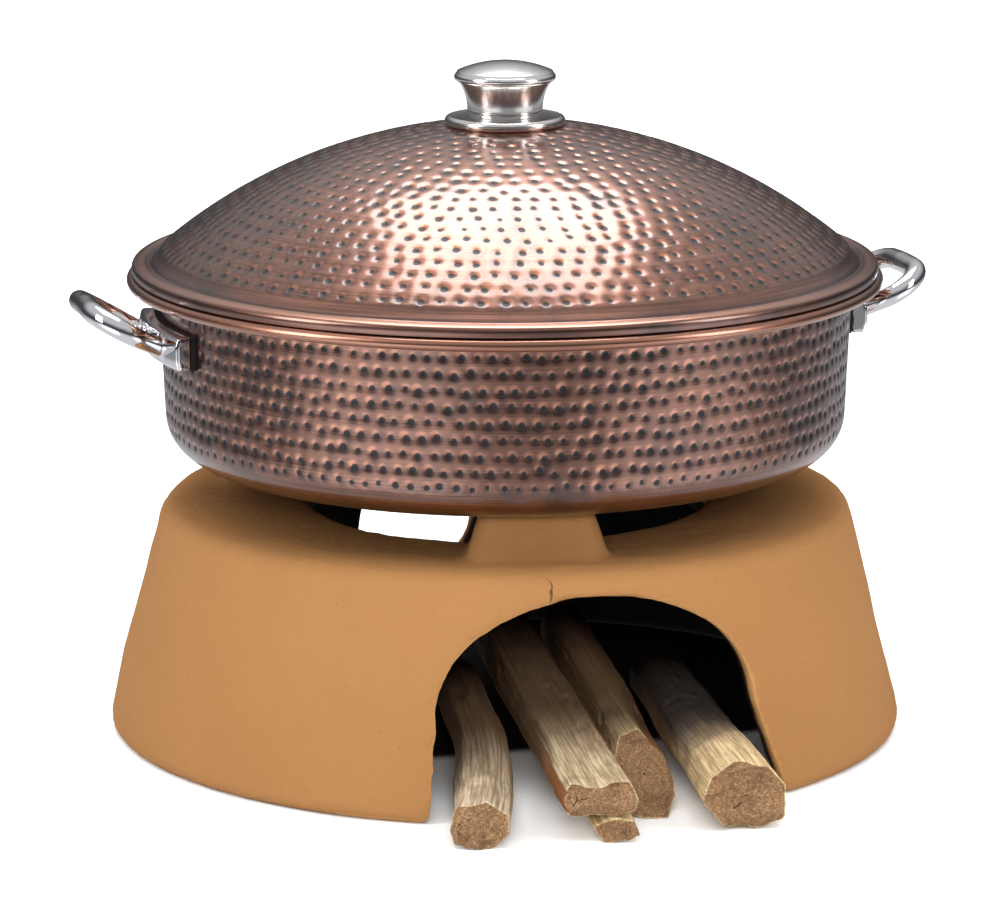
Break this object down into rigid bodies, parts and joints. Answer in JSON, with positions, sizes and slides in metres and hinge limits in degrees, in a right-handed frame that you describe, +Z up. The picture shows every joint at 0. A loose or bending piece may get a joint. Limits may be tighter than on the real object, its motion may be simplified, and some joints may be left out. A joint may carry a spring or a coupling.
{
  "type": "copper cooking pot on a clay stove",
  "caption": "Low round hammered copper pot with a domed lid, steel knob and loop handles, standing on lugs over an arched clay wood stove with split logs in its mouth.",
  "frame": {"origin": "centre of the stove's base ring, on the floor", "axes": "+Z up along the pot's axis, -Y out of the fire mouth, +X and -X along the two pot handles"},
  "size_m": [0.4284, 0.4243, 0.3295],
  "materials": {
    "clay": "matt ochre wash over hand-smoothed clay",
    "copper": "hammered antique copper, softly polished high spots",
    "polished_steel": "mirror-polished casting",
    "satin_steel": "turned and polished",
    "fastener_steel": "plain bright steel",
    "gasket": "matt black heat-proof sheet",
    "split_wood": "dry split firewood, weathered",
    "bark_wood": "dry round stick with grey-brown bark"
  },
  "bodies": {
    "stove": {"stove_body": "clay"},
    "stick": {"log_stick": "bark_wood"},
    "slab": {"log_slab": "split_wood"},
    "middle": {"log_middle": "split_wood"},
    "thick": {"log_thick": "split_wood"},
    "split": {"log_split": "split_wood"},
    "pot": {"pot_shell": "copper", "left_handle": "polished_steel", "right_handle": "polished_steel", "left_gasket": "gasket", "right_gasket": "gasket", "handle_screws": "fastener_steel", "handle_washers": "fastener_steel"},
    "lid": {"lid_shell": "copper", "lid_collar": "copper", "knob_base": "satin_steel", "knob_collar": "satin_steel", "knob_neck": "satin_steel", "knob_cap": "satin_steel", "knob_screw": "fastener_steel", "knob_washer": "fastener_steel"}
  },
  "joints": [
    {"name": "pot_lift", "type": "slide", "parent": "stove", "child": "pot", "axis": [0, 0, 1], "range_m": [0, 0.15]},
    {"name": "lid_lift", "type": "slide", "parent": "pot", "child": "lid", "axis": [0, 0, 1], "range_m": [0, 0.15]},
    {"name": "stick_pull", "type": "slide", "parent": "stove", "child": "stick", "axis": [-0.2207, -0.9753, 0], "range_m": [0, 0.15]},
    {"name": "slab_pull", "type": "slide", "parent": "stove", "child": "slab", "axis": [-0.1305, -0.9914, 0], "range_m": [0, 0.15]},
    {"name": "middle_pull", "type": "slide", "parent": "stove", "child": "middle", "axis": [-0.1392, -0.9903, 0], "range_m": [0, 0.15]},
    {"name": "thick_pull", "type": "slide", "parent": "stove", "child": "thick", "axis": [-0.1305, -0.9914, 0], "range_m": [0, 0.15]},
    {"name": "split_pull", "type": "slide", "parent": "stove", "child": "split", "axis": [-0.1305, -0.9914, 0], "range_m": [0, 0.15]}
  ]
}
